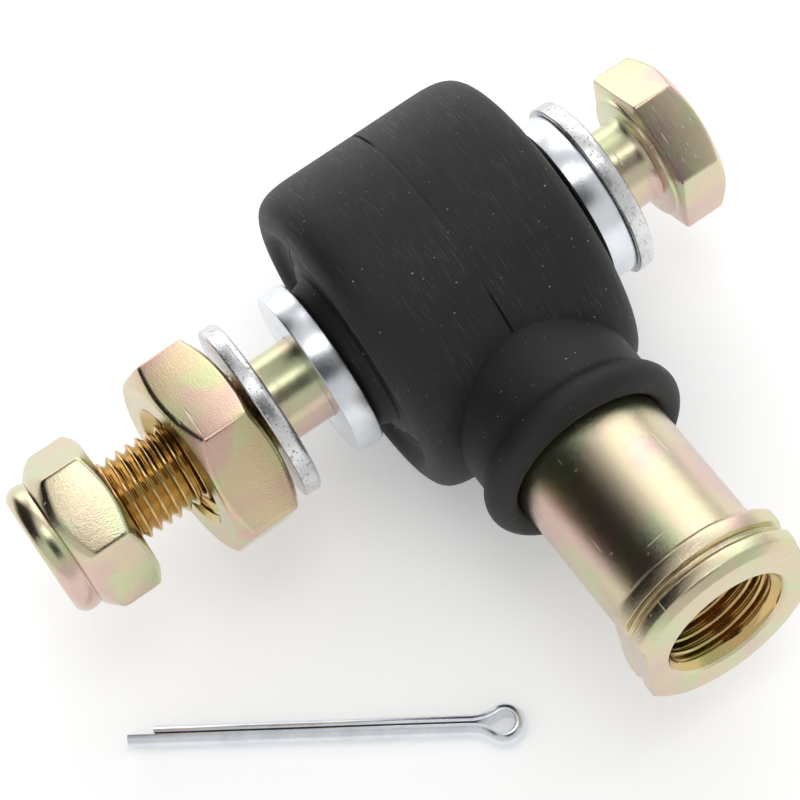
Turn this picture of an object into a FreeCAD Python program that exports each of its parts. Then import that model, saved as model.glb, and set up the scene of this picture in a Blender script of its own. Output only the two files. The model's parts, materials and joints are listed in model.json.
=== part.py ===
import FreeCAD, Part
import math
import os

# Tie rod end: a female rod end in a rubber boot, its through bolt with washers and nuts,
# and a loose split pin. Millimetres. The origin is the ball centre, +X runs along the bolt
# to its head, -Y runs along the shank to the threaded mouth, +Z is up.

V = FreeCAD.Vector

# clearances
RUN = 0.05              # radial, between pieces that turn or slide on one another
FACE = 0.05             # between flat faces that lie against one another
SNUG = 0.02             # between pieces of one body that sit inside one another

# through bolt and its hexagons
BOLT_RADIUS = 5.0
HEAD_FLATS = 3.4 * BOLT_RADIUS
HEAD_HEIGHT = 6.4
HEAD_TURN = 4.0
WASHER_FACE_HEIGHT = 0.5
TIP_CHAMFER = 1.0
LOCK_NUT_HEX_HEIGHT = 7.2
LOCK_NUT_TURN = -10.0
CROWN_HEIGHT = 2.8
CROWN_WALL = 0.7
NYLON_WALL = 2.1
NYLON_HEIGHT = 2.0
TIP_SHORT_OF_CROWN = 3.25

# ball, race and forged eye
STUB_WALL = 2.0
BALL_SHOULDER = 4.0
RACE_WALL = 1.5
EYE_WALL = 2.4
EYE_WIDTH = 12.0
STAKE_WIDTH = 0.6
STAKE_LIP = 0.5
EDGE_CHAMFER = 0.8

# rubber boot
BOOT_WALL = 4.2
BOOT_HALF_WIDTH = 13.6
RIM_ROUND = 2.8
RIM_WIDTH = 2.2
END_RECESS = 1.4
END_WALL = 2.2
CUFF_WALL = 1.2
CUFF_STAND = 1.7
NECK_WALL = 1.85
BEAD_STAND = 1.3
BEAD_LENGTH = 4.0
NECK_LENGTH = 8.9

# shank
CENTRE_TO_END = 51.6
TUBE_RADIUS = 8.9
COLLAR_STAND = 2.4
COLLAR_LENGTH = 5.6
COLLAR_CHAMFER = 0.7
GROOVE_DEPTH = 0.7
GROOVE_WIDTH = 0.9
FLAT_INSET = 1.8
BORE_PLAY = 1.19
THREAD_DEPTH = 25.0
SINK_DEPTH = 1.0
DRILL_POINT = 3.5

# washers and the loose jam nut
SPACER_THICKNESS = 3.0
WASHER_THICKNESS = 2.1
SPACER_OVERHANG = 5.0
WASHER_OVERHANG = 5.7
WASHER_SLACK = 0.3
RIM_BREAK = 0.4
HEAD_GAP = 4.8
ARM_GAP = 5.3
JAM_WALL = 4.81
JAM_THICKNESS = 8.0
JAM_TURN = 28.0
JAM_PITCH_SHARE = 0.39
JAM_YAW_SHARE = 0.28
JAM_DROP_SHARE = 0.59
JAM_GAP = 1.7
JAM_SINK = 1.3
FREE_THREAD = 7.5

# split pin lying on the floor beside the shank
PIN_RADIUS = 1.15
PIN_LENGTH = 44.0
PIN_SHORT_LEG = 2.9
PIN_EYE_RADIUS = 1.25
PIN_BEND_RADIUS = 5.0
PIN_LEG_GAP = 0.06
PIN_EYE_X = -20.2
PIN_EYE_Y = -40.3
PIN_TURN = 144.5

# sizes that follow
BORE_RADIUS = BOLT_RADIUS + RUN
STUB_RADIUS = BOLT_RADIUS + STUB_WALL
THREAD_BORE_RADIUS = BOLT_RADIUS + BORE_PLAY
JAM_FLATS = 2 * (THREAD_BORE_RADIUS + JAM_WALL)
JAM_FREEDOM = math.degrees(math.atan(2 * BORE_PLAY / JAM_THICKNESS))
JAM_PITCH = JAM_PITCH_SHARE * JAM_FREEDOM
JAM_YAW = JAM_YAW_SHARE * JAM_FREEDOM
JAM_DROP = JAM_DROP_SHARE * BORE_PLAY
BALL_RADIUS = STUB_RADIUS + BALL_SHOULDER
RACE_RADIUS = BALL_RADIUS + RACE_WALL
EYE_BORE = RACE_RADIUS + RUN
EYE_RADIUS = EYE_BORE + EYE_WALL
BOOT_BORE = EYE_RADIUS + SNUG
BOOT_RADIUS = BOOT_BORE + BOOT_WALL
STUB_END = BOOT_HALF_WIDTH + CUFF_STAND
NECK_BORE = TUBE_RADIUS + SNUG
NECK_RADIUS = NECK_BORE + NECK_WALL
NECK_END = BOOT_RADIUS + NECK_LENGTH
COLLAR_RADIUS = TUBE_RADIUS + COLLAR_STAND
SPACER_START = STUB_END + FACE
SPACER_END = SPACER_START + SPACER_THICKNESS
SPACER_RADIUS = BOLT_RADIUS + SPACER_OVERHANG
WASHER_RADIUS = BOLT_RADIUS + WASHER_OVERHANG
HEAD_WASHER_START = SPACER_END + FACE
HEAD_SEAT = HEAD_WASHER_START + WASHER_THICKNESS + HEAD_GAP
FLAT_WASHER_START = SPACER_END + ARM_GAP
JAM_START = FLAT_WASHER_START + WASHER_THICKNESS + JAM_GAP
LOCK_START = JAM_START + JAM_THICKNESS + FREE_THREAD
LOCK_END = LOCK_START + LOCK_NUT_HEX_HEIGHT + CROWN_HEIGHT
BOLT_TIP = LOCK_END - TIP_SHORT_OF_CROWN
RIM_RADIUS = BOOT_RADIUS - RIM_ROUND - RIM_WIDTH
CUFF_JOIN = RIM_RADIUS - END_RECESS
CREST_X = BOOT_HALF_WIDTH
FLOOR_X = CREST_X - END_RECESS


def turned_on_x(points):
    """Solid of revolution about X from (x, radius) points."""
    corners = [V(x, r, 0) for x, r in points]
    face = Part.Face(Part.makePolygon(corners + corners[:1]))
    return face.revolve(V(0, 0, 0), V(1, 0, 0), 360)


def turned_on_y(points):
    """Solid of revolution about Y from (distance toward -Y, radius) points."""
    corners = [V(r, -d, 0) for d, r in points]
    face = Part.Face(Part.makePolygon(corners + corners[:1]))
    return face.revolve(V(0, 0, 0), V(0, 1, 0), 360)


def rod_on_x(radius, start, end):
    return Part.makeCylinder(radius, end - start, V(start, 0, 0), V(1, 0, 0))


def mirrored(shape):
    """The same piece on the nut side of the ball."""
    return shape.mirror(V(0, 0, 0), V(1, 0, 0))


def hexagon_on_x(flats, start, end, turned=0.0):
    """Hexagonal bar with a corner pointing up, then turned about X."""
    reach = flats / 2 / math.cos(math.radians(30))
    corners = []
    for n in range(6):
        turn = math.radians(60 * n - turned)
        corners.append(V(start, reach * math.sin(turn), reach * math.cos(turn)))
    face = Part.Face(Part.makePolygon(corners + corners[:1]))
    return face.extrude(V(end - start, 0, 0))


def chamfered_blank(flats, start, end, at_start, at_end):
    """Turned blank that takes the corners off a hexagon at either face."""
    reach = flats / 2 / math.cos(math.radians(30)) + 1
    face_radius = 0.95 * flats / 2
    rise = (reach - face_radius) * math.tan(math.radians(30))
    points = [(start, 0)]
    if at_start:
        points += [(start, face_radius), (start + rise, reach)]
    else:
        points += [(start, reach)]
    if at_end:
        points += [(end - rise, reach), (end, face_radius)]
    else:
        points += [(end, reach)]
    points += [(end, 0)]
    return turned_on_x(points)


def washer(bore, radius, start, thickness, edge):
    """Flat ring with both outer corners taken off."""
    end = start + thickness
    points = [
        (start, bore),
        (start, radius - edge),
        (start + edge, radius),
        (end - edge, radius),
        (end, radius - edge),
        (end, bore),
    ]
    return turned_on_x(points)


def rod_end_body():
    """Forged eye and hollow shank in one piece."""
    half = EYE_WIDTH / 2
    eye = turned_on_x([
        (-half, 0), (-half, EYE_RADIUS - EDGE_CHAMFER), (EDGE_CHAMFER - half, EYE_RADIUS),
        (half - EDGE_CHAMFER, EYE_RADIUS), (half, EYE_RADIUS - EDGE_CHAMFER), (half, 0),
    ])
    collar_start = CENTRE_TO_END - COLLAR_LENGTH
    groove = CENTRE_TO_END - COLLAR_LENGTH / 2
    shank = turned_on_y([
        (0, 0), (0, half), (EYE_RADIUS - EDGE_CHAMFER, half), (BOOT_RADIUS, TUBE_RADIUS),
        (collar_start - COLLAR_CHAMFER, TUBE_RADIUS),
        (collar_start, COLLAR_RADIUS - COLLAR_CHAMFER),
        (collar_start + COLLAR_CHAMFER, COLLAR_RADIUS),
        (groove - GROOVE_WIDTH, COLLAR_RADIUS),
        (groove - GROOVE_WIDTH / 2, COLLAR_RADIUS - GROOVE_DEPTH),
        (groove + GROOVE_WIDTH / 2, COLLAR_RADIUS - GROOVE_DEPTH),
        (groove + GROOVE_WIDTH, COLLAR_RADIUS),
        (CENTRE_TO_END - COLLAR_CHAMFER, COLLAR_RADIUS),
        (CENTRE_TO_END, COLLAR_RADIUS - COLLAR_CHAMFER),
        (CENTRE_TO_END, 0),
    ])
    body = eye.fuse(shank)
    inside = half - STAKE_WIDTH
    body = body.cut(rod_on_x(EYE_BORE - STAKE_LIP, -half, half))
    body = body.cut(rod_on_x(EYE_BORE, -inside, inside))
    for side in (-1, 1):
        body = body.cut(flat_cutter(side))
    bore_end = CENTRE_TO_END - THREAD_DEPTH
    hole = turned_on_y([
        (bore_end - DRILL_POINT, 0), (bore_end, THREAD_BORE_RADIUS),
        (CENTRE_TO_END - SINK_DEPTH, THREAD_BORE_RADIUS),
        (CENTRE_TO_END, THREAD_BORE_RADIUS + SINK_DEPTH), (CENTRE_TO_END, 0),
    ])
    return body.cut(hole)


def flat_cutter(side):
    """Block that leaves one wrench flat on the collar."""
    flat = COLLAR_RADIUS - FLAT_INSET
    deep = 2 * COLLAR_RADIUS
    long = COLLAR_LENGTH + COLLAR_CHAMFER
    low_x = flat if side > 0 else -flat - deep
    return Part.makeBox(deep, long, deep * 2, V(low_x, -CENTRE_TO_END, -deep))


def race_half():
    """Head side half of the split race, a ring with a spherical inside."""
    ring = rod_on_x(RACE_RADIUS, FACE / 2, EYE_WIDTH / 2 - STAKE_WIDTH - FACE)
    return ring.cut(Part.makeSphere(BALL_RADIUS + RUN))


def ball():
    """Ball with a long stub to each side, bored for the bolt."""
    solid = Part.makeSphere(BALL_RADIUS).fuse(rod_on_x(STUB_RADIUS, -STUB_END, STUB_END))
    return solid.cut(rod_on_x(BORE_RADIUS, -STUB_END, STUB_END))


def boot_shell():
    """Rubber cover over the eye with a rounded rim each side and a beaded neck."""
    half = [
        (CREST_X - RIM_ROUND, BOOT_RADIUS),
        (CREST_X - 0.3 * RIM_ROUND, BOOT_RADIUS - 0.3 * RIM_ROUND),
        (CREST_X, BOOT_RADIUS - RIM_ROUND),
        (CREST_X - 0.2 * END_RECESS, RIM_RADIUS + 0.2 * RIM_WIDTH),
        (FLOOR_X, RIM_RADIUS),
        (FLOOR_X, CUFF_JOIN),
    ]
    barrel = turned_on_x(
        [(-FLOOR_X, 0)] + [(-x, r) for x, r in reversed(half)] + half + [(FLOOR_X, 0)]
    )
    neck_straight = NECK_END - BEAD_LENGTH
    bead = NECK_RADIUS + BEAD_STAND
    neck = turned_on_y([
        (0, 0), (0, NECK_RADIUS), (neck_straight, NECK_RADIUS),
        (neck_straight + BEAD_STAND, bead), (NECK_END - BEAD_STAND, bead),
        (NECK_END, NECK_RADIUS), (NECK_END, 0),
    ])
    cover = barrel.fuse(neck)
    cavity = FLOOR_X - END_WALL
    cover = cover.cut(rod_on_x(BOOT_BORE, -cavity, cavity))
    cover = cover.cut(rod_on_x(CUFF_JOIN, -CREST_X, CREST_X))
    tube = Part.makeCylinder(NECK_BORE, NECK_END, V(0, 0, 0), V(0, -1, 0))
    return cover.cut(tube)


def boot_cuff():
    """Thin dished wall of the boot between its rim and the spacer on the head side."""
    outer = CUFF_JOIN - FACE
    ridge = 0.5 * (CUFF_JOIN + STUB_RADIUS)
    lip = STUB_RADIUS + CUFF_WALL
    return turned_on_x([
        (FLOOR_X - CUFF_WALL, outer), (FLOOR_X, outer),
        (CREST_X - 0.4, ridge), (CREST_X, lip + CUFF_WALL / 2),
        (STUB_END - FACE, lip), (STUB_END - FACE, STUB_RADIUS + SNUG),
        (CREST_X - CUFF_WALL, STUB_RADIUS + SNUG), (CREST_X - CUFF_WALL - 0.4, ridge),
    ])


def hex_bolt():
    """Partly threaded hex bolt; the thread is kept as a plain rod."""
    head_start = HEAD_SEAT + WASHER_FACE_HEIGHT
    head_end = HEAD_SEAT + HEAD_HEIGHT
    head = hexagon_on_x(HEAD_FLATS, head_start, head_end, HEAD_TURN)
    head = head.common(chamfered_blank(HEAD_FLATS, head_start, head_end, False, True))
    seat = rod_on_x(0.94 * HEAD_FLATS / 2, HEAD_SEAT, head_start)
    rod = turned_on_x([
        (-BOLT_TIP, 0), (-BOLT_TIP, BOLT_RADIUS - TIP_CHAMFER),
        (TIP_CHAMFER - BOLT_TIP, BOLT_RADIUS), (head_start, BOLT_RADIUS), (head_start, 0),
    ])
    return head.fuse(seat).fuse(rod).removeSplitter()


def lock_nut():
    """Hex nut with a rolled crown that holds the nylon ring, crown toward the tip."""
    hex_end = -LOCK_START - LOCK_NUT_HEX_HEIGHT
    body = hexagon_on_x(HEAD_FLATS, hex_end, -LOCK_START, LOCK_NUT_TURN)
    body = body.common(chamfered_blank(HEAD_FLATS, hex_end, -LOCK_START, True, True))
    ring_radius = BOLT_RADIUS + NYLON_WALL
    crown_radius = ring_radius + CROWN_WALL
    crown = turned_on_x([
        (-LOCK_END, 0), (-LOCK_END, crown_radius - CROWN_WALL),
        (CROWN_WALL - LOCK_END, crown_radius), (hex_end + 1, crown_radius), (hex_end + 1, 0),
    ])
    body = body.fuse(crown)
    body = body.cut(rod_on_x(BORE_RADIUS, -LOCK_END, -LOCK_START))
    seat = -LOCK_END + CROWN_WALL
    pocket = rod_on_x(ring_radius + RUN, seat, seat + NYLON_HEIGHT + 2 * FACE)
    mouth = rod_on_x(BOLT_RADIUS + 0.6 * NYLON_WALL, -LOCK_END, seat)
    return body.cut(pocket).cut(mouth)


def nylon_ring():
    start = CROWN_WALL + FACE - LOCK_END
    ring = rod_on_x(BOLT_RADIUS + NYLON_WALL, start, start + NYLON_HEIGHT)
    return ring.cut(rod_on_x(BORE_RADIUS, start, start + NYLON_HEIGHT))


def jam_nut():
    """Plain jam nut for the shank thread, hung loose on the much thinner bolt."""
    half = JAM_THICKNESS / 2
    body = hexagon_on_x(JAM_FLATS, -half, half, JAM_TURN)
    body = body.common(chamfered_blank(JAM_FLATS, -half, half, True, True))
    body = body.cut(rod_on_x(THREAD_BORE_RADIUS, -half, half))
    for side in (-1, 1):
        sink = turned_on_x([
            (side * half, 0), (side * half, THREAD_BORE_RADIUS + JAM_SINK),
            (side * (half - JAM_SINK), THREAD_BORE_RADIUS), (side * (half - JAM_SINK), 0),
        ])
        body = body.cut(sink)
    body.rotate(V(0, 0, 0), V(0, 1, 0), JAM_PITCH)
    body.rotate(V(0, 0, 0), V(0, 0, 1), JAM_YAW)
    body.translate(V(-JAM_START - half, 0, -JAM_DROP))
    return body


def split_pin():
    """Half-round wire folded round an eye, one leg longer than the other."""
    start = V(0, PIN_LEG_GAP, 0)
    spread = PIN_BEND_RADIUS + PIN_EYE_RADIUS
    rise = PIN_BEND_RADIUS + PIN_LEG_GAP
    run = math.sqrt(spread ** 2 - rise ** 2)
    eye_x = PIN_LENGTH - PIN_EYE_RADIUS - PIN_RADIUS
    bend_x = eye_x - run
    touch = V(eye_x - run * PIN_EYE_RADIUS / spread, rise * PIN_EYE_RADIUS / spread, 0)
    turn = math.asin(run / spread) / 2
    middle = V(
        bend_x + PIN_BEND_RADIUS * math.sin(turn),
        rise - PIN_BEND_RADIUS * math.cos(turn),
        0,
    )
    bend = V(bend_x, PIN_LEG_GAP, 0)
    far = V(eye_x + PIN_EYE_RADIUS, 0, 0)
    edges = [
        Part.makeLine(start, bend),
        Part.Arc(bend, middle, touch).toShape(),
        Part.Arc(touch, far, V(touch.x, -touch.y, 0)).toShape(),
        Part.Arc(V(touch.x, -touch.y, 0), V(middle.x, -middle.y, 0),
                 V(bend.x, -bend.y, 0)).toShape(),
        Part.makeLine(V(bend.x, -bend.y, 0), V(PIN_SHORT_LEG, -PIN_LEG_GAP, 0)),
    ]
    spine = Part.Wire(edges)
    low = V(0, PIN_LEG_GAP, -PIN_RADIUS)
    high = V(0, PIN_LEG_GAP, PIN_RADIUS)
    crest = V(0, PIN_LEG_GAP + PIN_RADIUS, 0)
    section = Part.Wire([Part.Arc(low, crest, high).toShape(), Part.makeLine(high, low)])
    sweep = Part.BRepOffsetAPI.MakePipeShell(spine)
    sweep.setBiNormalMode(V(0, 0, 1))
    sweep.add(section)
    sweep.build()
    sweep.makeSolid()
    pin = sweep.shape().mirror(V(0, 0, 0), V(0, 1, 0))
    pin.translate(V(-PIN_LENGTH, 0, 0))
    pin.rotate(V(0, 0, 0), V(0, 0, 1), PIN_TURN + 180)
    pin.translate(V(PIN_EYE_X, PIN_EYE_Y, PIN_RADIUS - BOOT_RADIUS))
    return pin


def all_pieces():
    spacer = washer(BORE_RADIUS, SPACER_RADIUS, SPACER_START, SPACER_THICKNESS, RIM_BREAK)
    slack_bore = BOLT_RADIUS + WASHER_SLACK
    head_washer = washer(
        slack_bore, WASHER_RADIUS, HEAD_WASHER_START, WASHER_THICKNESS, RIM_BREAK
    )
    arm_washer = washer(
        slack_bore, WASHER_RADIUS, FLAT_WASHER_START, WASHER_THICKNESS, RIM_BREAK
    )
    race = race_half()
    cuff = boot_cuff()
    return {
        "rod_end_body": rod_end_body(),
        "boot_shell": boot_shell(),
        "boot_cuff_head_side": cuff,
        "boot_cuff_nut_side": mirrored(cuff),
        "race_half_head_side": race,
        "race_half_nut_side": mirrored(race),
        "ball": ball(),
        "spacer_head_side": spacer,
        "spacer_nut_side": mirrored(spacer),
        "head_washer": head_washer,
        "arm_washer": mirrored(arm_washer),
        "jam_nut": jam_nut(),
        "hex_bolt": hex_bolt(),
        "lock_nut": lock_nut(),
        "nylon_ring": nylon_ring(),
        "split_pin": split_pin(),
    }


def write_pieces():
    os.makedirs("parts", exist_ok=True)
    for name, shape in all_pieces().items():
        solid = shape.Solids[0] if len(shape.Solids) == 1 else shape
        solid.exportStep("parts/" + name + ".step")
        box = solid.BoundBox
        print(name, len(shape.Solids), solid.isValid(), round(solid.Volume, 1),
              [round(v, 2) for v in (box.XMin, box.XMax, box.YMin, box.YMax, box.ZMin, box.ZMax)])


write_pieces()
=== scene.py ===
# %% Load the frame
import json
import math
import random

import bpy
import bmesh
from mathutils import Matrix, Vector


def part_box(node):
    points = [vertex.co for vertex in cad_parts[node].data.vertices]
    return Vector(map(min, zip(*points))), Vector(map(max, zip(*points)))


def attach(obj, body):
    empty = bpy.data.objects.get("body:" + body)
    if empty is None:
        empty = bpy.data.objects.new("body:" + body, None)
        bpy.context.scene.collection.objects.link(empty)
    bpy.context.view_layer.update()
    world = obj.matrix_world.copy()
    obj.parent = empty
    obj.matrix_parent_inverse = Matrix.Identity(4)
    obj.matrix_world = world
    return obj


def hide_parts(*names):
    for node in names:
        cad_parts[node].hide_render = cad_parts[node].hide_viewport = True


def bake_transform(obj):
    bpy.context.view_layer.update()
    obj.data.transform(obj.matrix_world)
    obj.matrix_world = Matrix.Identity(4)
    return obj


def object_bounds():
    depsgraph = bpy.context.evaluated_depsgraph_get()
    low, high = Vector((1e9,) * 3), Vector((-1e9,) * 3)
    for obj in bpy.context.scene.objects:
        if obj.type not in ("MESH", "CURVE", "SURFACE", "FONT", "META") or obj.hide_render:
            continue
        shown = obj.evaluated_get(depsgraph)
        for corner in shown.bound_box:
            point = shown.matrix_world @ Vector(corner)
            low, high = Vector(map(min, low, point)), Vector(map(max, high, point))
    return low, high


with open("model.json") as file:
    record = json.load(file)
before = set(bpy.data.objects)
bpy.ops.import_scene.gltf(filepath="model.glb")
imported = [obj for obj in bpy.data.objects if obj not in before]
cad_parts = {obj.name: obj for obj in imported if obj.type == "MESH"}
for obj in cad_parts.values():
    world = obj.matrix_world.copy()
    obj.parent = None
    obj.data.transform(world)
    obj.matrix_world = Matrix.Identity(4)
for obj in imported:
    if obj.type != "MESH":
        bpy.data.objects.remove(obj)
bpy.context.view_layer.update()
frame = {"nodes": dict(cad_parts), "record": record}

# %% [markdown]
# Measures. A tie rod end links a steering rod to a steering arm: an eye holds a ball, and a
# bolt through the ball clamps the arm. Every position below is taken from the frame's own
# boxes, turned into millimetres because that is how a machinist reads these parts. Doing it
# once here means a change in the frame moves every piece with it.

# %% Measures in millimetres
MM = 0.001


def span(node):
    """Lowest and highest corner of a frame node, in millimetres."""
    low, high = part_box(node)
    return low / MM, high / MM


bolt_low, bolt_high = span("hex_bolt")
nut_low, nut_high = span("lock_nut")
ring_low, ring_high = span("nylon_ring")
boot_low, boot_high = span("boot_shell")
rod_low, rod_high = span("rod_end_body")
cuff_high = span("boot_cuff_head_side")[1]
ball_high = span("ball")[1]
race_high = span("race_half_head_side")[1]

mounts = {mount["name"]: mount["dims"] for mount in frame["record"]["mounts"]}
bolt_radius = mounts["arm_seat"]["r_mm"]
thread_minor = mounts["tie_rod_thread"]["r_mm"]
mouth = -rod_low.y
print("bolt", round(bolt_high.x - bolt_low.x, 1), "mm long, mouth", round(mouth, 1), "mm away")

# %% [markdown]
# Turned shapes. Nearly every piece here was made on a lathe or could have been: boot, washers,
# shank, nuts. One helper spins an outline round an axis. It could take a fixed outline only,
# but letting the outline depend on the angle gives hexagons, wrench flats and small dents from
# the same few lines, with clean rows of faces and no boolean cuts. An outline that ends on the
# axis stops a hair short of it, at CORE, because points on the axis would fall together.

# %% A helper that spins an outline
CORE = 0.01


def eased(points, steps=3):
    """Closed outline in which each corner (along, out, ease) becomes a short curve."""
    result = []
    count = len(points)
    for i in range(count):
        corner = Vector(points[i][:2])
        ease = points[i][2] if len(points[i]) > 2 else 0.0
        if ease == 0.0:
            result.append(tuple(corner))
            continue
        back = Vector(points[i - 1][:2]) - corner
        ahead = Vector(points[(i + 1) % count][:2]) - corner
        first = corner + back.normalized() * min(ease, 0.48 * back.length)
        last = corner + ahead.normalized() * min(ease, 0.48 * ahead.length)
        for k in range(steps + 1):
            t = k / steps
            spot = first * (1 - t) ** 2 + corner * 2 * t * (1 - t) + last * t ** 2
            result.append(tuple(spot))
    return result


def place(axis, along, out, angle):
    """Point at a distance along an axis and out from it, in metres."""
    side, up = out * math.sin(angle), out * math.cos(angle)
    if axis == "x":
        return Vector((along, side, up)) * MM
    return Vector((side, -along, up)) * MM


def even_angles(count):
    return [2 * math.pi * i / count for i in range(count)]


def finish_mesh(name, mesh, sharp=28.0):
    """Turns a bmesh into a smooth shaded object whose real edges stay crisp."""
    bmesh.ops.recalc_face_normals(mesh, faces=mesh.faces)
    data = bpy.data.meshes.new(name)
    mesh.to_mesh(data)
    mesh.free()
    for face in data.polygons:
        face.use_smooth = True
    data.set_sharp_from_angle(angle=math.radians(sharp))
    thing = bpy.data.objects.new(name, data)
    bpy.context.scene.collection.objects.link(thing)
    return thing


def turned(mesh, axis, outline, angles=None):
    """Adds to a bmesh the closed shape swept by outline, a list or a function of the angle."""
    angles = angles or even_angles(144)
    rows = []
    for angle in angles:
        points = outline(angle) if callable(outline) else outline
        rows.append([mesh.verts.new(place(axis, a, r, angle)) for a, r in points])
    for i in range(len(rows)):
        here, there = rows[i], rows[(i + 1) % len(rows)]
        for j in range(len(here)):
            k = (j + 1) % len(here)
            mesh.faces.new((here[j], here[k], there[k], there[j]))
    return mesh


print("a corner eased by 1 mm has", len(eased([(0, 0, 1), (0, 5), (5, 5)])) - 2, "points")

# %% [markdown]
# Finishes. The steel is zinc plated: yellow passivate on the forged and threaded pieces, which
# shines pink and green where its film is thicker, and clear blue-white on the washers. A
# picture of zinc could be wrapped round each piece, but it would stretch and repeat. Here each
# finish is worked out from noise in the object's own space, so it has no seam and stays at the
# right size. The small classes let the sums be written as plain arithmetic.

# %% Arithmetic on shader values
class Value:
    """One socket of a material that can be used in plain arithmetic."""

    def __init__(self, shader, socket):
        self.shader = shader
        self.socket = socket

    def combine(self, operation, first, second):
        node = self.shader.add("ShaderNodeMath", {"operation": operation}, {})
        for slot, item in enumerate((first, second)):
            self.shader.feed(node.inputs[slot], item)
        return Value(self.shader, node.outputs[0])

    def __add__(self, other):
        return self.combine("ADD", self, other)

    def __radd__(self, other):
        return self.combine("ADD", other, self)

    def __sub__(self, other):
        return self.combine("SUBTRACT", self, other)

    def __rsub__(self, other):
        return self.combine("SUBTRACT", other, self)

    def __mul__(self, other):
        return self.combine("MULTIPLY", self, other)

    def __rmul__(self, other):
        return self.combine("MULTIPLY", other, self)

    def between(self, low, high):
        """0 at low, 1 at high, with an eased climb from one to the other."""
        settings = {"interpolation_type": "SMOOTHSTEP"}
        inputs = {"Value": self, "From Min": low, "From Max": high}
        node = self.shader.add("ShaderNodeMapRange", settings, inputs)
        return Value(self.shader, node.outputs[0])


class Shader:
    """A material with one Principled surface, wired by name."""

    def __init__(self, name, **constants):
        self.material = bpy.data.materials.new(name)
        self.material.use_nodes = True
        self.tree = self.material.node_tree
        self.surface = self.tree.nodes["Principled BSDF"]
        for key, value in constants.items():
            self.surface.inputs[key.replace("_", " ")].default_value = value
        self.where = self.add("ShaderNodeTexCoord", {}, {}).outputs["Object"]

    def add(self, kind, settings, inputs):
        node = self.tree.nodes.new(kind)
        for key, value in settings.items():
            setattr(node, key, value)
        for key, value in inputs.items():
            self.feed(node.inputs[key], value)
        return node

    def feed(self, socket, item):
        if isinstance(item, Value):
            item = item.socket
        if isinstance(item, bpy.types.NodeSocket):
            self.tree.links.new(item, socket)
        else:
            socket.default_value = item

    def stretched(self, stretch):
        settings = {"operation": "MULTIPLY"}
        node = self.add("ShaderNodeVectorMath", settings, {0: self.where, 1: stretch})
        return node.outputs[0]

    def noise(self, per_mm, detail, rough, stretch=(1, 1, 1), shift=0.0):
        """Noise from 0 to 1 with that many blobs in a millimetre."""
        scale = [per_mm / MM * s for s in stretch]
        inputs = {"Vector": self.stretched(scale), "Scale": 1.0, "Detail": detail}
        inputs.update({"Roughness": rough, "W": shift})
        node = self.add("ShaderNodeTexNoise", {"noise_dimensions": "4D"}, inputs)
        return Value(self, node.outputs[0])

    def cells(self, per_mm):
        """Distance to the nearest of many scattered points."""
        inputs = {"Vector": self.stretched([per_mm / MM] * 3), "Scale": 1.0}
        return Value(self, self.add("ShaderNodeTexVoronoi", {}, inputs).outputs["Distance"])

    def mix(self, factor, first, second):
        node = self.add("ShaderNodeMix", {"data_type": "RGBA"}, {0: factor})
        self.feed(node.inputs[6], first)
        self.feed(node.inputs[7], second)
        return node.outputs[2]

    def bump(self, height, depth_mm):
        """Relief depth_mm deep where height goes from 0 to 1."""
        inputs = {"Height": height, "Distance": depth_mm * MM, "Strength": 1.0}
        node = self.add("ShaderNodeBump", {}, inputs)
        self.feed(self.surface.inputs["Normal"], node.outputs[0])

    def set(self, name, item):
        self.feed(self.surface.inputs[name], item)


def rgb(red, green, blue):
    return (red, green, blue, 1.0)


print("shader helpers ready")

# %% [markdown]
# Yellow zinc. The chromate film over the zinc is a few hundred nanometres thick, and where
# its thickness drifts the gold turns pink or green. The colours could be worked out from the
# film's thickness and the angle of view, but three colours mixed by soft noise about a
# centimetre wide look the same and are easier to steer. On top sit fine grain from the forging
# or the tool, and scratches from the tumbling barrel, with brighter metal in them.

# %% Yellow zinc
def yellow_zinc(name, grain, lay, tint, deep=0.0):
    """Yellow passivated steel. lay stretches the tool marks, tint moves the pattern to another
    place in the noise, deep darkens the film."""
    zinc = Shader(name, Metallic=1.0)
    drift = zinc.noise(0.16, 2.0, 0.5, shift=tint)
    patch = zinc.noise(0.11, 2.0, 0.5, shift=tint + 7.0)
    gold = rgb(0.67 - 0.08 * deep, 0.575 - 0.19 * deep, 0.40 - 0.27 * deep)
    pink = rgb(0.67 - 0.08 * deep, 0.50 - 0.18 * deep, 0.43 - 0.26 * deep)
    green = rgb(0.60 - 0.12 * deep, 0.625 - 0.23 * deep, 0.39 - 0.26 * deep)
    base = zinc.mix(drift.between(0.47, 0.60), gold, green)
    base = zinc.mix(patch.between(0.48, 0.62), base, pink)
    marks = zinc.noise(5.0, 3.0, 0.7, stretch=lay)
    fine = zinc.noise(9.0, 2.0, 0.6)
    scratch = zinc.noise(3.0, 2.0, 0.5, stretch=(1.0, 0.06, 0.2))
    crossed = zinc.noise(2.6, 2.0, 0.5, stretch=(0.07, 1.0, 0.3))
    lines = scratch.between(0.68, 0.74) + crossed.between(0.69, 0.75)
    stain = zinc.noise(0.6, 4.0, 0.6, shift=3.0).between(0.55, 0.85)
    base = zinc.mix(stain * 0.35, base, rgb(0.46, 0.36, 0.20))
    base = zinc.mix(lines * 0.4, base, rgb(0.90, 0.86, 0.76))
    zinc.set("Base Color", base)
    zinc.set("Roughness", 0.12 + marks * 0.12 * grain + stain * 0.10 + lines * 0.22)
    zinc.bump(marks * 0.7 + fine * 0.4 - lines * 0.5, 0.034 * grain)
    return zinc.material


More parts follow.
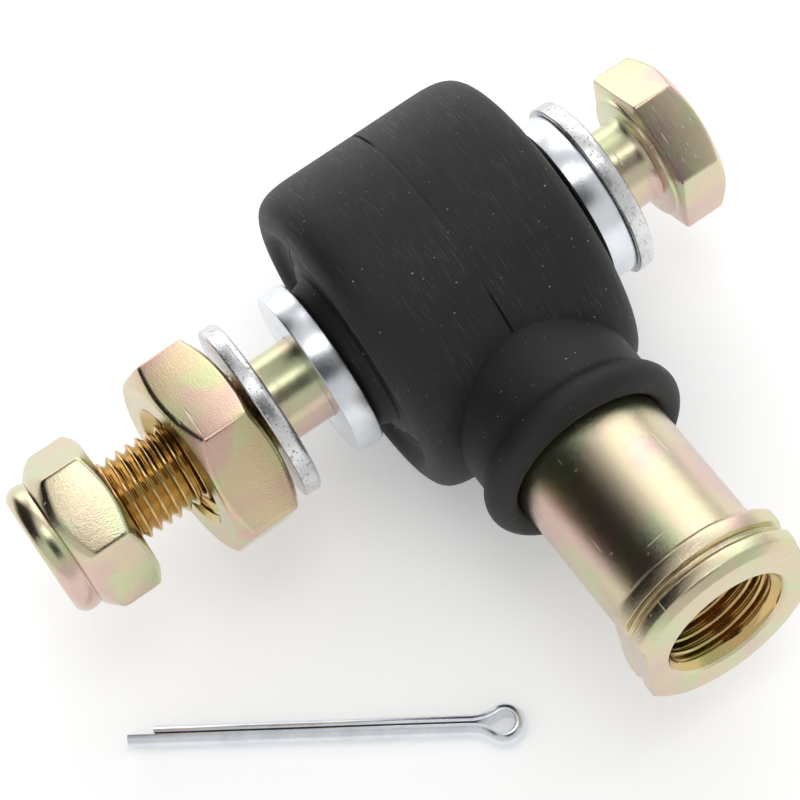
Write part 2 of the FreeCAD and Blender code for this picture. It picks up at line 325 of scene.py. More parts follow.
zinc_shank = yellow_zinc("zinc_shank", 1.0, (0.3, 2.4, 0.3), 1.0)
zinc_bolt = yellow_zinc("zinc_bolt", 1.0, (2.4, 0.3, 0.3), 2.0)
zinc_thread = yellow_zinc("zinc_thread", 0.4, (0.4, 1, 1), 3.0, 0.8)
zinc_nut = yellow_zinc("zinc_nut", 0.8, (1, 1, 1), 5.3)
zinc_jam = yellow_zinc("zinc_jam", 1.1, (1, 1, 1), 6.0, 0.25)
print("yellow zinc has", len(zinc_shank.node_tree.nodes), "nodes in each of its finishes")

# %% [markdown]
# Clear zinc and the other metals. The spacers are cut from bar and plated bright; the stamped
# washers are duller, with a torn rim where the press sheared them. Inside, the ball is ground
# steel and the race is sintered bronze, which shows tiny pores. They share one recipe with
# different colour, grain and pitting, which is less to keep in step than four of them.

# %% Clear zinc, bearing steel, bronze and nylon
def plain_metal(name, colour, dark, gloss, grain, pits=0.0):
    """Metal that clouds from colour to dark; gloss and grain set its roughness."""
    metal = Shader(name, Metallic=1.0)
    cloud = metal.noise(0.35, 3.0, 0.6)
    marks = metal.noise(5.0, 3.0, 0.7)
    fine = metal.noise(10.0, 2.0, 0.6)
    torn = metal.noise(2.4, 4.0, 0.75).between(0.56, 0.70)
    nick = metal.noise(4.0, 2.0, 0.5, stretch=(1.0, 0.08, 0.25)).between(0.67, 0.73)
    base = metal.mix(cloud.between(0.35, 0.75), colour, dark)
    base = metal.mix(torn * pits, base, rgb(0.12, 0.12, 0.14))
    base = metal.mix(nick * 0.35, base, rgb(0.95, 0.95, 0.95))
    metal.set("Base Color", base)
    metal.set("Roughness", gloss + marks * grain + torn * pits * 0.35)
    metal.bump(marks * 0.6 + fine * 0.4 - torn * pits * 4.0 - nick * 0.4, 0.014)
    return metal.material


def nylon():
    """Natural nylon, slightly see-through and cloudy."""
    plastic = Shader("nylon", Metallic=0.0, Subsurface_Weight=0.15)
    cloud = plastic.noise(0.8, 3.0, 0.6)
    fine = plastic.noise(14.0, 2.0, 0.6)
    pale, grey = rgb(0.78, 0.76, 0.70), rgb(0.62, 0.60, 0.54)
    plastic.set("Base Color", plastic.mix(cloud.between(0.4, 0.7), pale, grey))
    plastic.set("Roughness", 0.36 + fine * 0.18)
    plastic.bump(fine, 0.01)
    return plastic.material


clear_zinc = plain_metal("clear_zinc", rgb(0.80, 0.83, 0.87), rgb(0.68, 0.72, 0.77), 0.16, 0.12)
stamped_zinc = plain_metal("stamped_zinc", rgb(0.76, 0.76, 0.76), rgb(0.60, 0.60, 0.62),
                           0.16, 0.20, 0.8)
bearing_steel = plain_metal("bearing_steel", rgb(0.72, 0.72, 0.74), rgb(0.66, 0.66, 0.68),
                            0.08, 0.06)
bronze = plain_metal("bronze", rgb(0.60, 0.44, 0.24), rgb(0.48, 0.34, 0.18), 0.28, 0.15, 0.3)
nylon_finish = nylon()
print("materials so far:", len(bpy.data.materials))

# %% [markdown]
# Rubber. The boot is moulded black rubber. Its skin has fine scores that run round it, from
# being turned out of the mould and rubbed in the bag, and white specks of mould powder. Noise
# squeezed along the bolt axis makes the scores; scattered small dots make the powder. They
# could be drawn one by one, but noise covers the whole skin and never repeats. The scores change
# roughness as well as colour, because a scored skin catches the light.

# %% Rubber
def rubber(name, scores, along):
    """Moulded black rubber. scores sets how worn it is, along is the axis they run round."""
    skin = Shader(name, Metallic=0.0, Specular_IOR_Level=0.34)
    squeeze = (1.0, 0.05, 0.05) if along == "X" else (0.05, 1.0, 0.05)
    score = skin.noise(5.5, 3.0, 0.8, stretch=squeeze)
    coarse = skin.noise(1.3, 2.0, 0.6, stretch=squeeze, shift=5.0)
    where = skin.noise(0.14, 3.0, 0.6, shift=2.0).between(0.44, 0.62)
    worn = (where * 0.8 + 0.2) * score.between(0.50, 0.72) * scores
    dots = skin.cells(0.85)
    chosen = skin.noise(0.35, 2.0, 0.5, shift=9.0).between(0.50, 0.62)
    speck = (1.0 - dots.between(0.04, 0.10)) * (chosen * 0.8 + 0.2)
    grain = skin.noise(9.0, 3.0, 0.6)
    cloud = skin.noise(0.25, 3.0, 0.6)
    base = skin.mix(cloud, rgb(0.009, 0.009, 0.010), rgb(0.018, 0.017, 0.017))
    base = skin.mix(worn * 0.6, base, rgb(0.07, 0.07, 0.073))
    base = skin.mix(speck * 0.8, base, rgb(0.42, 0.42, 0.42))
    skin.set("Base Color", base)
    skin.set("Roughness", 0.50 + cloud * 0.10 + grain * 0.06 - worn * 0.12)
    relief = score * 0.55 * scores + coarse * 0.5 * scores + grain * 0.35
    skin.bump(relief + speck * 0.6, 0.03)
    return skin.material


rubber_barrel = rubber("rubber_barrel", 1.0, "X")
rubber_neck = rubber("rubber_neck", 0.25, "Y")
print("materials with the rubber:", len(bpy.data.materials))

# %% [markdown]
# Hexagons. A bolt head or nut is hexagonal bar whose corners are turned away by a cone, which
# leaves the curved edges that every nut has. A hexagon could be cut with booleans; here the
# outline is given for each angle instead, as far out as the hexagon lets it go, so the curves
# come out by themselves. Extra angles near each corner keep the corners tight.

# %% Hexagon helpers
CORNER_SHARPNESS = 90
FACE_SHARE = 0.95


def hex_reach(flats, angle, turn):
    """Distance from the axis to the hexagon's side at an angle, with slightly worn corners."""
    total = 0.0
    for k in range(6):
        facing = math.cos(angle - turn - math.pi / 6 - k * math.pi / 3)
        if facing > 0:
            total += facing ** CORNER_SHARPNESS
    return flats / 2 / total ** (1 / CORNER_SHARPNESS)


def cone_fall(reach, start, degrees=30):
    """How far a cone that leaves the face at radius start has dropped at radius reach."""
    return max(0.0, reach - start) * math.tan(math.radians(degrees))


def hex_angles(turn):
    """Angles round a hexagon, closer together near its corners."""
    offsets = [0, 0.7, 1.4, 2.2, 3.2, 4.6, 7, 10, 14, 18, 22, 26, 30, 34, 38, 42, 46, 50, 53,
               55.4, 56.8, 57.8, 58.6, 59.3]
    return [turn + math.radians(60 * k + step) for k in range(6) for step in offsets]


print("a 17 mm hexagon reaches", round(hex_reach(17, 0, 0), 2), "mm at its corner")

# %% [markdown]
# Threads. A thread is one long ridge wound round a rod. It could be a spiral profile with a
# screw modifier, but that leaves ragged ends. Here every row of points climbs one pitch per
# turn and joins the row a pitch further on, so the ridge is truly helical and has no seam, and
# its ends are simply held at the piece's ends. The solid under a ridge lies CORE_GAP behind it,
# so that the two never show through each other.

# %% A helper that winds a thread
STEPS_PER_TURN = 10
THREAD_SIDES = 96
ROOT_FLAT, FLANK = 0.12, 0.72
CORE_GAP = 0.02
THREAD_SHARP = 40


def ridge(step):
    """Height of a 60 degree thread with a small flat on crest and root, from 0 to 1."""
    across = abs(2 * (step % STEPS_PER_TURN) / STEPS_PER_TURN - 1)
    return min(1.0, max(0.0, (across - ROOT_FLAT) / FLANK))


def thread(axis, minor, major, pitch, start, end, limit):
    """A helical thread between start and end. limit corrects each point's radius."""
    mesh = bmesh.new()
    turns = int((end - start) / pitch) + 3
    rows = []
    for i in range(THREAD_SIDES):
        angle = 2 * math.pi * i / THREAD_SIDES
        row = []
        for j in range(turns * STEPS_PER_TURN + 1):
            along = start - pitch * 1.5 + pitch * (j / STEPS_PER_TURN + i / THREAD_SIDES)
            along = min(max(along, start), end)
            out = limit(along, minor + (major - minor) * ridge(j))
            row.append(mesh.verts.new(place(axis, along, out, angle)))
        rows.append(row)
    for i in range(THREAD_SIDES):
        here, there = rows[i], rows[(i + 1) % THREAD_SIDES]
        shift = 0 if i < THREAD_SIDES - 1 else STEPS_PER_TURN
        for j in range(turns * STEPS_PER_TURN):
            k = j + shift
            if k + 1 < len(there):
                mesh.faces.new((here[j], here[j + 1], there[k + 1], there[k]))
    return mesh


print("heights down one flank of a ridge:", [round(ridge(step), 2) for step in range(6)])

# %% [markdown]
# Handing a piece over. On the real object each piece is plated or moulded on its own and then
# moves with one body. Here every piece is given its finish and the body it rides, and the frame
# nodes that it stands for are hidden. Doing it in one place means none is forgotten.

# %% A helper that hands a piece over
def show(piece, body, finish, slot, *nodes):
    """Gives a piece its finish and its body, and hides the frame nodes that it stands for. slot
    is not used.
    """
    piece.data.materials.append(finish)
    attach(piece, body)
    if nodes:
        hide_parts(*nodes)
    size = [round(v / MM, 1) for v in piece.dimensions]
    print(piece.name, "is", size, "mm with", len(piece.data.polygons), "faces")


# %% [markdown]
# The bolt's shank. It is a cold headed hex bolt: a smooth shank with a rolled thread at the
# tip. It could be one mesh, but shank and thread differ in finish, so they are two pieces. The
# shank is turned, with a small fillet under the head, and the thread is wound over a core as
# thick as its root, with a chamfer at the tip.

# %% Bolt shank and thread
BOLT_PITCH = 1.25
THREAD_DEPTH = 0.77
THREAD_LENGTH = 24.5
TIP_CHAMFER = 1.0
FILLET = 0.5
HEAD_HEIGHT = 6.4
tip, head_end = bolt_low.x, bolt_high.x
head_seat = head_end - HEAD_HEIGHT
thread_end = tip + THREAD_LENGTH
root = bolt_radius - THREAD_DEPTH
mesh = turned(bmesh.new(), "x", eased([
    (thread_end - 1.0, CORE), (thread_end - 1.0, root), (thread_end + 1.2, bolt_radius, 0.3),
    (head_seat - FILLET, bolt_radius, FILLET), (head_seat + 0.3, bolt_radius + FILLET),
    (head_seat + 0.3, CORE),
]))
show(finish_mesh("bolt_shank", mesh), "bolt", zinc_bolt, "yellow_zinc", "hex_bolt")


def bolt_limit(along, out):
    """Chamfer at the tip, and the thread fading out toward the shank."""
    fade = min(1.0, max(0.0, (thread_end - along) / (2 * BOLT_PITCH)))
    run_out = bolt_radius - (bolt_radius - out) * fade ** 0.5
    return min(run_out, bolt_radius - TIP_CHAMFER + (along - tip))


mesh = thread("x", root, bolt_radius - 0.01, BOLT_PITCH, tip, thread_end, bolt_limit)
turned(mesh, "x", eased([
    (tip + CORE_GAP, CORE), (tip + CORE_GAP, bolt_radius - TIP_CHAMFER, 0.3),
    (tip + TIP_CHAMFER, root - CORE_GAP), (thread_end, root - CORE_GAP), (thread_end, CORE),
]))
show(finish_mesh("bolt_thread", mesh, THREAD_SHARP), "bolt", zinc_thread, "yellow_zinc")

# %% [markdown]
# The bolt's head. It is forged with a washer face under it, and its top corners are turned
# away at 30 degrees. The underside keeps nearly sharp corners, and the top is slightly dished.
# Grade marks could be raised on top; they say nothing about how the part works and are left out.

# %% Bolt head
HEAD_FLATS = 17.0
HEAD_TURN = math.radians(-4)
DISH_RADIUS, DISH_DEPTH = 6.4, 0.35
face_radius = FACE_SHARE * HEAD_FLATS / 2
washer_face = head_seat + 0.5


def head_outline(angle):
    reach = hex_reach(HEAD_FLATS, angle, HEAD_TURN)
    fall = cone_fall(reach, face_radius)
    lift = 0.12 + 0.10 * fall
    return eased([
        (head_seat, CORE), (head_seat, face_radius - 0.55, 0.2),
        (washer_face, face_radius - 0.45, 0.2), (washer_face + lift, reach, 0.35),
        (head_end - fall, reach, 0.35), (head_end, face_radius, 0.3),
        (head_end, DISH_RADIUS, 0.3), (head_end - DISH_DEPTH, DISH_RADIUS - 0.5, 0.3),
        (head_end - DISH_DEPTH, CORE),
    ])


mesh = turned(bmesh.new(), "x", head_outline, hex_angles(HEAD_TURN))
show(finish_mesh("bolt_head", mesh), "bolt", zinc_bolt, "yellow_zinc")

# %% [markdown]
# Spacers and washers. The two thick spacers are cut from bar, so their rims are smooth and
# their edges crisp. The thin washers are stamped: the punch leaves one edge rolled over and
# the other sharp, and the sheared rim is slightly uneven. A little noise in the radius, from
# a fixed seed, gives that unevenness.

# %% Spacers and washers
CRISP, ROLLED = 0.2, 0.75
spacer_bore = bolt_radius + 0.05
washer_bore = bolt_radius + 0.3


def wobble(seed, amount):
    """A closed uneven line round a rim, the same on every run."""
    dice = random.Random(seed)
    waves = [(n, dice.uniform(-1, 1) / n, dice.uniform(0, 6.3)) for n in range(2, 40)]
    return lambda angle: amount * sum(a * math.sin(n * angle + p) for n, a, p in waves)


def spacer(node):
    """A spacer cut from bar."""
    low, high = span(node)
    return turned(bmesh.new(), "x", eased([
        (low.x, spacer_bore, 0.25), (low.x, high.z, 0.22), (high.x, high.z, 0.22),
        (high.x, spacer_bore, 0.25),
    ]))


def stamped(node, seed):
    """A stamped washer with its rolled edge toward the bolt's head."""
    low, high = span(node)
    uneven = wobble(seed, 0.035)
    radius = high.z - 0.06

    def outline(angle):
        out = radius + uneven(angle)
        return eased([(low.x, washer_bore, 0.3), (low.x, out, CRISP), (high.x, out, ROLLED),
                      (high.x, washer_bore, 0.3)], 4)

    return turned(bmesh.new(), "x", outline, even_angles(240))


for side in ("head_side", "nut_side"):
    mesh = spacer("spacer_" + side)
    show(finish_mesh("thick_spacer_" + side, mesh), "ball", clear_zinc, "bright_zinc",
         "spacer_" + side)
mesh = stamped("head_washer", 3)
show(finish_mesh("stamped_washer_head", mesh), "ball", stamped_zinc, "dull_zinc", "head_washer")
mesh = stamped("arm_washer", 8)
show(finish_mesh("stamped_washer_arm", mesh), "arm_washer", stamped_zinc, "dull_zinc",
     "arm_washer")

# %% [markdown]
# The lock nut. Its hexagon ends in a rolled crown that grips a nylon ring, which rubs on the
# thread and keeps the nut from shaking loose. The crown bulges a little and has a groove where
# it meets the hexagon, from being rolled over. Hexagon and crown could be two pieces; as one
# outline they meet without a seam, as they do in one forging.

# %% Lock nut and nylon ring
NUT_FLATS = 17.0
NUT_TURN = math.radians(10)
CROWN_WALL = 0.7
CROWN_LENGTH = 2.8
RING_GAP = 0.03
nut_circle, crown_circle = 0.94 * NUT_FLATS / 2, 0.90 * NUT_FLATS / 2
nut_face, crown_end = nut_high.x, nut_low.x
crown_radius = ring_high.z + CROWN_WALL
hex_end = crown_end + CROWN_LENGTH
bore = bolt_radius + 0.05


def lock_nut_outline(angle):
    reach = hex_reach(NUT_FLATS, angle, NUT_TURN)
    fall = cone_fall(reach, nut_circle)
    crown_fall = cone_fall(reach, crown_circle, 38)
    return eased([
        (nut_face, bore + 0.7, 0.1), (nut_face, nut_circle, 0.25),
        (nut_face - fall, reach, 0.4), (hex_end + crown_fall, reach, 0.6),
        (hex_end, crown_radius + 0.15, 0.25), (hex_end - 0.1, crown_radius - 0.25, 0.25),
        (hex_end - 0.7, crown_radius, 0.4), (crown_end + 0.9, crown_radius, 0.9),
        (crown_end, crown_radius - 0.9, 0.5), (crown_end + 0.1, bolt_radius + 1.15, 0.3),
        (ring_low.x - RING_GAP, bolt_radius + 1.1, 0.1),
        (ring_low.x - RING_GAP, ring_high.z + RING_GAP),
        (ring_high.x + RING_GAP, ring_high.z + RING_GAP), (ring_high.x + RING_GAP, bore),
        (nut_face - 0.7, bore),
    ])


mesh = turned(bmesh.new(), "x", lock_nut_outline, hex_angles(NUT_TURN))
show(finish_mesh("lock_nut_shell", mesh), "lock_nut", zinc_nut, "yellow_zinc", "lock_nut")
mesh = turned(bmesh.new(), "x", eased([
    (ring_low.x, bore, 0.4), (ring_low.x, ring_high.z, 0.1), (ring_high.x, ring_high.z, 0.1),
    (ring_high.x, bore, 0.2),
]))
show(finish_mesh("locking_ring", mesh), "nut_ring", nylon_finish, "nylon", "nylon_ring")

# %% [markdown]
# The jam nut. It belongs on the tie rod's thread, so its bore is far too big for the bolt it
# hangs on, and it leans. It could be turned about its leaning axis, but it is simpler to build
# it straight, with its own M14 thread inside and both faces chamfered, and then to turn its
# mesh to the lean that the frame's node has.

# %% Jam nut
JAM_FLATS = 22.0
JAM_TURN = math.radians(-28)
JAM_PITCH = math.radians(6.5)
JAM_YAW = math.radians(4.6)
JAM_HALF = 4.0
SINK = 1.3
ROD_PITCH = 1.5
ROD_THREAD_DEPTH = 0.8
jam_low, jam_high = span("jam_nut")
jam_centre = (jam_low + jam_high) / 2
jam_face = FACE_SHARE * JAM_FLATS / 2
jam_mouth = thread_minor + SINK
thread_major = thread_minor + ROD_THREAD_DEPTH
sink_depth = jam_mouth - thread_major


def jam_outline(angle):
    reach = hex_reach(JAM_FLATS, angle, JAM_TURN)
    fall = cone_fall(reach, jam_face)
    return eased([
        (-JAM_HALF, jam_mouth, 0.25), (-JAM_HALF, jam_face, 0.3),
        (fall - JAM_HALF, reach, 0.4), (JAM_HALF - fall, reach, 0.4),
        (JAM_HALF, jam_face, 0.3), (JAM_HALF, jam_mouth, 0.25),
        (JAM_HALF - sink_depth, thread_major + 0.05),
        (sink_depth - JAM_HALF, thread_major + 0.05),
    ])


def jam_limit(along, out):
    """The cone of the nut's two countersinks, which the thread doesn't reach into."""
    return max(out, jam_mouth - (JAM_HALF - abs(along)))


mesh = turned(bmesh.new(), "x", jam_outline, hex_angles(JAM_TURN))
jam_nut = finish_mesh("jam_nut_shell", mesh)
mesh = thread("x", thread_major, thread_minor, ROD_PITCH, 0.1 - JAM_HALF, JAM_HALF - 0.1,
              jam_limit)
jam_thread = finish_mesh("jam_nut_thread", mesh, THREAD_SHARP)
lean = Matrix.Rotation(JAM_YAW, 4, "Z") @ Matrix.Rotation(JAM_PITCH, 4, "Y")
for piece in (jam_nut, jam_thread):
    piece.data.transform(Matrix.Translation(jam_centre * MM) @ lean)
show(jam_nut, "jam_nut", zinc_jam, "yellow_zinc", "jam_nut")
show(jam_thread, "jam_nut", zinc_thread, "yellow_zinc")

# %% [markdown]
# The rod end's shank. It is turned from bar after the eye is forged: a plain tube, then a
# collar with a groove, two flats for a wrench, and a threaded mouth with a countersink. The
# flats could be cut with a boolean; instead the outline reaches no further out than two planes,
# and two angles sit exactly on each flat's edge so that the edge is straight.

# %% Shank, collar and mouth
TUBE_RADIUS = 8.9
TUBE_START = 13.0
COLLAR_STAND = 2.4
COLLAR_LENGTH = 5.6
GROOVE_BACK, GROOVE_DEPTH = 3.0, 0.75
BORE_DEPTH = 25.0
DRILL_POINT = 3.4
MOUTH_SINK = 1.15
BEVEL = 0.85
FLAT = 9.5
collar_radius = TUBE_RADIUS + COLLAR_STAND
groove_radius = collar_radius - GROOVE_DEPTH
collar = mouth - COLLAR_LENGTH
groove = mouth - GROOVE_BACK
bore_end = mouth - BORE_DEPTH


def shank_outline(angle):
    cap = FLAT / max(abs(math.sin(angle)), 0.01)
    points = [
        (TUBE_START, CORE), (TUBE_START, TUBE_RADIUS), (collar - 0.35, TUBE_RADIUS, 0.2),
        (collar, collar_radius - 0.5, 0.2), (collar + 0.55, collar_radius, 0.35),
        (groove - 0.45, collar_radius, 0.12), (groove - 0.28, groove_radius, 0.1),
        (groove + 0.28, groove_radius, 0.1), (groove + 0.75, collar_radius, 0.3),
        (mouth - BEVEL, collar_radius, 0.2), (mouth, collar_radius - BEVEL, 0.2),
        (mouth, thread_minor + MOUTH_SINK, 0.1), (mouth - 0.34, thread_major + CORE_GAP),
        (bore_end, thread_major + CORE_GAP), (bore_end, thread_minor - 0.3),
        (bore_end - DRILL_POINT, CORE),
    ]
    return [(a, min(r, cap)) for a, r in eased(points)]


flat_edge = math.acos(FLAT / collar_radius)
edges = [s * math.pi / 2 + e for s in (-1, 1) for e in (-flat_edge, flat_edge)]
angles = sorted(a % (2 * math.pi) for a in even_angles(180) + edges)
mesh = turned(bmesh.new(), "y", shank_outline, angles)
show(finish_mesh("shank_tube", mesh, 24), "housing", zinc_shank, "yellow_zinc", "rod_end_body")


def mouth_limit(along, out):
    """The cone of the mouth's countersink, which the thread doesn't reach into."""
    return max(out, thread_minor + MOUTH_SINK - (mouth - along))


mesh = thread("y", thread_major, thread_minor, ROD_PITCH, bore_end, mouth - 0.3, mouth_limit)
show(finish_mesh("shank_thread", mesh, THREAD_SHARP), "housing", zinc_thread, "yellow_zinc")

# %% [markdown]
# The forged eye. Nobody sees it once the boot is on, but it is what holds the race, so it is
# made as a plain ring with broken edges and a short neck that meets the tube. The ball and the
# race keep the frame's own solids, whose shape is already right, and only get a finish.

# %% Eye, race and ball
EYE_HALF = 6.0
NECK_FOOT, NECK_TOP = 18.0, 20.0
neck_radius = TUBE_RADIUS - 0.1
eye_radius = rod_high.z
race_radius = race_high.z + 0.05
mesh = turned(bmesh.new(), "x", eased([
    (-EYE_HALF, race_radius - 0.5, 0.2), (-EYE_HALF, eye_radius, 0.9),
    (EYE_HALF, eye_radius, 0.9), (EYE_HALF, race_radius - 0.5, 0.2),
    (EYE_HALF - 0.6, race_radius), (0.6 - EYE_HALF, race_radius),
]))
turned(mesh, "y", eased([
    (race_radius + 0.4, CORE), (race_radius + 0.4, EYE_HALF, 0.5),
    (NECK_FOOT, neck_radius, 0.5), (NECK_TOP, neck_radius), (NECK_TOP, CORE),
]))
show(finish_mesh("forged_eye", mesh), "housing", zinc_shank, "yellow_zinc")
for node, finish in (("ball", bearing_steel), ("race_half_head_side", bronze),
                     ("race_half_nut_side", bronze)):
    data = frame["nodes"][node].data
    data.materials.clear()
    data.materials.append(finish)
    print(node, "keeps its solid")

# %% [markdown]
# The boot's barrel. It is one rubber moulding: a barrel over the eye with a soft rim round
# each dished end. The two halves of the mould leave a parting line round the middle, deeper
# where the rubber was slow to fill. It could be drawn with a bump, but the notch shows on the
# outline too, so the middle of the barrel is really sunk, by more at two places.

# %% Boot barrel
SOFT_SHARP = 45
RIM_WIDTH = 5.0
RECESS_DEPTH = 1.4
PARTING_DEPTH = 0.05
NOTCHES = ((0.34, 47, 22), (0.24, 311, 13))    # depth in mm, middle and half width in degrees
crest = boot_high.x
barrel_radius = boot_high.z
rim = barrel_radius - RIM_WIDTH
join = cuff_high.z + 0.05
recess = crest - RECESS_DEPTH


def hump(angle, centre, width):
    """1 at the centre angle, falling to 0 a width away, in degrees."""
    off = (math.degrees(angle) - centre + 180) % 360 - 180
    return max(0.0, 1 - (off / width) ** 2)


line_wobble = wobble(5, 0.25)


def barrel_outline(angle):
    sink = PARTING_DEPTH
    for depth, centre, width in NOTCHES:
        sink += depth * hump(angle, centre, width)
    sink += 0.04 * max(0.0, line_wobble(angle))
    half = [
        (0.16, barrel_radius - 0.01), (0.45, barrel_radius), (5.0, barrel_radius),
        (crest - 3.1, barrel_radius, 2.2), (crest - 0.9, barrel_radius - 0.9, 1.2),
        (crest, barrel_radius - 3.0, 1.1), (crest - 0.15, rim + 0.9, 0.7),
        (recess, rim - 0.1, 0.6), (recess, join), (recess - 2.2, join),
        (recess - 2.2, eye_radius + 0.05),
    ]
    other = [(-p[0],) + tuple(p[1:]) for p in reversed(half)]
    return eased([(0.0, barrel_radius - sink)] + half + other, 4)


mesh = turned(bmesh.new(), "x", barrel_outline, even_angles(240))
show(finish_mesh("boot_barrel", mesh, SOFT_SHARP), "housing", rubber_barrel, "black_rubber",
     "boot_shell")

# %% [markdown]
# The boot's neck. It grips the shank and ends in a thick rounded bead that keeps it from
# tearing. It could be joined to the barrel with a boolean, but it is turned about the shank and
# simply sinks into the barrel, which gives the same crisp valley that the moulding has.

# %% Boot neck
NECK_START = 12.0
GRIP_RADIUS = 10.75
BEAD_RADIUS = 12.05
neck_end = -boot_low.y
tube_gap = TUBE_RADIUS + 0.03
mesh = turned(bmesh.new(), "y", eased([
    (NECK_START, tube_gap), (NECK_START, 10.3), (17.0, GRIP_RADIUS), (20.0, 10.72, 2.0),
    (neck_end - 4.3, GRIP_RADIUS, 1.0), (neck_end - 2.9, 12.0, 0.9),
    (neck_end - 1.3, BEAD_RADIUS, 0.9), (neck_end, 10.9, 0.9),
    (neck_end - 0.1, tube_gap + 0.7, 0.5), (neck_end - 0.9, tube_gap, 0.3),
], 5), even_angles(180))
show(finish_mesh("boot_neck", mesh, SOFT_SHARP), "housing", rubber_neck, "black_rubber")

# %% [markdown]
# The boot's thin ends. On the real part they are the same moulding, and they bend, because
# their outer edge stays with the race while their lip follows the ball as the bolt tilts. They
# could be simulated as cloth; here each is turned once about the bolt and rides no body, so it
# does not bend. Between them, at full tilt, the hidden inner wall still cuts into the ball's
# stub.

# %% Boot ends
STUB_BELOW_BALL = 4.0
lip_end = cuff_high.x
stub = ball_high.z - STUB_BELOW_BALL
outer = cuff_high.z
for side, facing in (("head_side", 1), ("nut_side", -1)):
    ring = eased([
        (recess - 1.3, outer + 0.5), (recess - 0.4, outer + 0.5),
        (recess + 0.02, outer - 0.1, 0.2), (recess + 0.02, outer - 0.9, 0.5),
        (crest - 0.75, 10.9, 0.6), (crest - 0.45, 10.0, 0.5), (crest - 0.55, 9.3, 0.5),
        (lip_end - 0.5, 8.7, 0.4), (lip_end - 0.02, 8.2, 0.2), (lip_end - 0.02, stub + 0.04),
        (lip_end - 0.7, stub + 0.06), (crest - 0.9, 8.5), (crest - 1.8, 9.6),
        (crest - 1.8, 10.4),
    ], 4)
    ring = [(facing * a, r) for a, r in ring]
    mesh = turned(bmesh.new(), "x", ring, even_angles(160))
    piece = finish_mesh("boot_end_" + side, mesh, 50)
    piece.data.materials.append(rubber_barrel)
    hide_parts("boot_cuff_" + side)
    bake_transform(piece)
    print(piece.name, "bends over", round(lip_end - recess, 1), "mm")

# %% [markdown]
# The split pin. It is half-round wire folded double, so that the two flat sides meet, with an
# eye left at the fold and one leg longer so the legs can be pried apart. A curve with a round
# bevel would give the wrong section, so the half-round section is carried along the line.

# %% Split pin
PIN_RADIUS = 1.15
PIN_EYE = 1.25
PIN_BEND = 5.0
PIN_LENGTH = 44.0
PIN_GAP = 0.06
SHORT_LEG = 2.9
PIN_ANGLE = math.radians(-35.5)
pin_low, pin_high = span("split_pin")


def pin_path():
    """Middle of the eye, then points along the wire's flat side with their headings."""
    spread = PIN_BEND + PIN_EYE
    rise = PIN_BEND + PIN_GAP
    run = math.sqrt(spread ** 2 - rise ** 2)
    eye = PIN_LENGTH - PIN_EYE - PIN_RADIUS
    bend = eye - run
    swing = math.asin(run / spread)
    path = [(bend * k / 12, PIN_GAP, 0.0) for k in range(13)]
    for k in range(1, 11):
        a = swing * k / 10
        path.append((bend + PIN_BEND * math.sin(a), rise - PIN_BEND * math.cos(a), a))
    for k in range(1, 25):
        a = swing - (swing + math.pi / 2) * k / 24
        path.append((eye - PIN_EYE * math.sin(a), PIN_EYE * math.cos(a), a))
    back = [(x, -y, math.pi - a) for x, y, a in reversed(path[:-1])]
    return eye, path + [(max(x, SHORT_LEG), y, a) for x, y, a in back]


def pin_section():
    """Half-round section with slightly rounded edges, as (outward, up)."""
    points = [(0.0, -PIN_RADIUS + 0.22), (0.05, -PIN_RADIUS + 0.06)]
    for k in range(1, 16):
        a = math.pi * (k / 16 - 0.5)
        points.append((PIN_RADIUS * math.cos(a), PIN_RADIUS * math.sin(a)))
    return points + [(0.05, PIN_RADIUS - 0.06), (0.0, PIN_RADIUS - 0.22)]


eye, path = pin_path()
mesh = bmesh.new()
rows = []
for x, y, heading in path:
    side, ahead = -math.sin(heading), math.cos(heading)
    rows.append([mesh.verts.new(Vector((x + side * o, -y - ahead * o, u)) * MM)
                 for o, u in pin_section()])
for here, there in zip(rows, rows[1:]):
    for j in range(len(here)):
        k = (j + 1) % len(here)
        mesh.faces.new((here[j], here[k], there[k], there[j]))
mesh.faces.new(rows[0])
mesh.faces.new(list(reversed(rows[-1])))
pin = finish_mesh("split_pin_wire", mesh, 35)
eye_spot = Vector((pin_high.x - PIN_EYE - PIN_RADIUS, pin_low.y + PIN_EYE + PIN_RADIUS,
                   (pin_low.z + pin_high.z) / 2))
turn = Matrix.Rotation(PIN_ANGLE, 4, "Z")
pin.data.transform(Matrix.Translation(eye_spot * MM) @ turn
                   @ Matrix.Translation(Vector((-eye, 0, 0)) * MM))
show(pin, "split_pin", clear_zinc, "bright_zinc", "split_pin")

# %% [markdown]
# Floor and light. Plated metal shows its surroundings more than itself. A white tent lights
# everything evenly, and dark cards give the zinc the dark bands that make it read as metal.
# Lamps alone would leave most of each piece reflecting nothing. The cards are seen only in
# reflections and cast no shadow on the floor, and the plain Standard view keeps white white.

# %% Floor, tent light and cards
def card(name, size, middle, facing, colour, glow=0.0):
    """A flat card that faces a point, or lies flat if facing is None. glow lights it a little."""
    data = bpy.data.meshes.new(name)
    w, h = size[0] / 2, size[1] / 2
    data.from_pydata([(-w, -h, 0), (w, -h, 0), (w, h, 0), (-w, h, 0)], [], [(0, 1, 2, 3)])
    sheet = bpy.data.objects.new(name, data)
    bpy.context.scene.collection.objects.link(sheet)
    sheet.location = middle
    if facing is not None:
        toward = Vector(facing) - Vector(middle)
        sheet.rotation_euler = toward.to_track_quat("Z", "Y").to_euler()
    paint = Shader(name + "_paint", Roughness=0.9, Emission_Strength=glow)
    cloud = paint.noise(0.02, 2.0, 0.5)
    paint.set("Base Color", paint.mix(cloud, rgb(*colour), rgb(*[c * 0.97 for c in colour])))
    data.materials.append(paint.material)
    return sheet


def only_reflected(sheet):
    """Lets a card be seen in the metal, but neither by the camera nor as a shadow."""
    sheet.visible_camera = False
    sheet.visible_diffuse = False
    sheet.visible_shadow = False


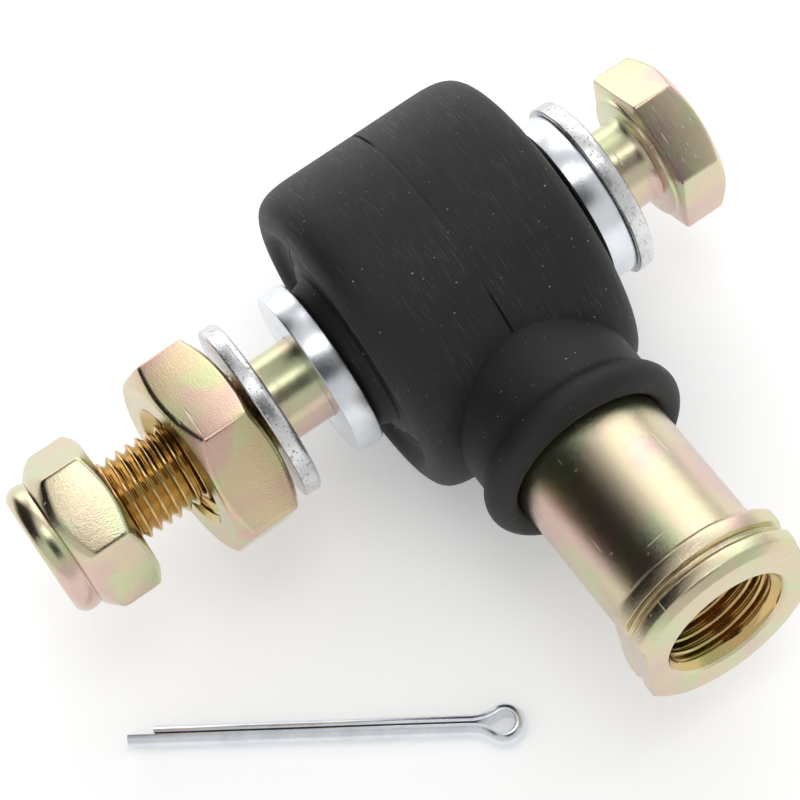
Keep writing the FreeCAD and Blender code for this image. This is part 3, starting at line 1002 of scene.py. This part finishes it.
def lamp(name, spot, size, watts):
    """A soft rectangular lamp that faces the middle of the object."""
    data = bpy.data.lights.new(name, "AREA")
    data.shape = "RECTANGLE"
    data.size, data.size_y = size
    data.energy = watts
    thing = bpy.data.objects.new(name, data)
    bpy.context.scene.collection.objects.link(thing)
    thing.location = spot
    thing.rotation_euler = (-Vector(spot)).to_track_quat("-Z", "Y").to_euler()


floor_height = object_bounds()[0][2] - 0.0002
card("floor", (6, 6), (0, 0, floor_height), None, (0.93, 0.93, 0.93), 0.24)
tent = bpy.data.worlds.new("tent")
bpy.context.scene.world = tent
tent.use_nodes = True
background = tent.node_tree.nodes["Background"]
background.inputs["Color"].default_value = rgb(1.0, 1.0, 1.0)
background.inputs["Strength"].default_value = 0.72
bpy.context.scene.view_settings.view_transform = "Standard"
lamp("overhead", (0.07, -0.09, 0.55), (0.26, 0.26), 0.42)
lamp("back_right", (0.36, 0.36, 0.34), (0.50, 0.50), 1.00)
lamp("back", (0.06, 0.55, 0.12), (0.50, 0.24), 0.45)
only_reflected(card("dark_side", (0.50, 0.50), (-0.23, 0.20, 0.20), (0, 0, 0.02),
                    (0.008, 0.007, 0.006)))
print("floor at", round(floor_height / MM, 2), "mm with", len(bpy.data.lights), "lamps above it")

# %% [markdown]
# Camera. It looks down on the piece from the mouth's side and is rolled, so the bolt runs up
# across the frame. A long lens keeps the parallel edges nearly parallel. The dark card behind
# it stands for the camera and whoever holds it, which polished faces turned this way reflect.

# %% Camera
AZIMUTH, ELEVATION, ROLL = (math.radians(v) for v in (-14.5, 59.3, -21.5))
DISTANCE = 0.300
CARD_DISTANCE = 0.5
target = Vector((-0.0117, -0.0091, 0.0))
behind = Vector((math.sin(AZIMUTH) * math.cos(ELEVATION),
                 -math.cos(AZIMUTH) * math.cos(ELEVATION), math.sin(ELEVATION)))
level = Vector((math.cos(AZIMUTH), math.sin(AZIMUTH), 0))
upward = behind.cross(level)
right = math.cos(ROLL) * level + math.sin(ROLL) * upward
up = -math.sin(ROLL) * level + math.cos(ROLL) * upward
spot = target + behind * DISTANCE
view = Matrix.Identity(4)
for row in range(3):
    view[row] = [column[row] for column in (right, up, behind, spot)]
lens = bpy.data.cameras.new("camera")
lens.lens = 126.0
lens.sensor_width = 36.0
lens.clip_start = 0.01
lens.shift_x = -0.005
camera = bpy.data.objects.new("camera", lens)
bpy.context.scene.collection.objects.link(camera)
camera.matrix_world = view
bpy.context.scene.camera = camera
beside = target + behind * CARD_DISTANCE + Vector((0.05, 0, 0))
only_reflected(card("dark_camera", (0.34, 0.34), beside, target, (0.010, 0.009, 0.008)))
print("camera at", [round(v, 3) for v in spot])
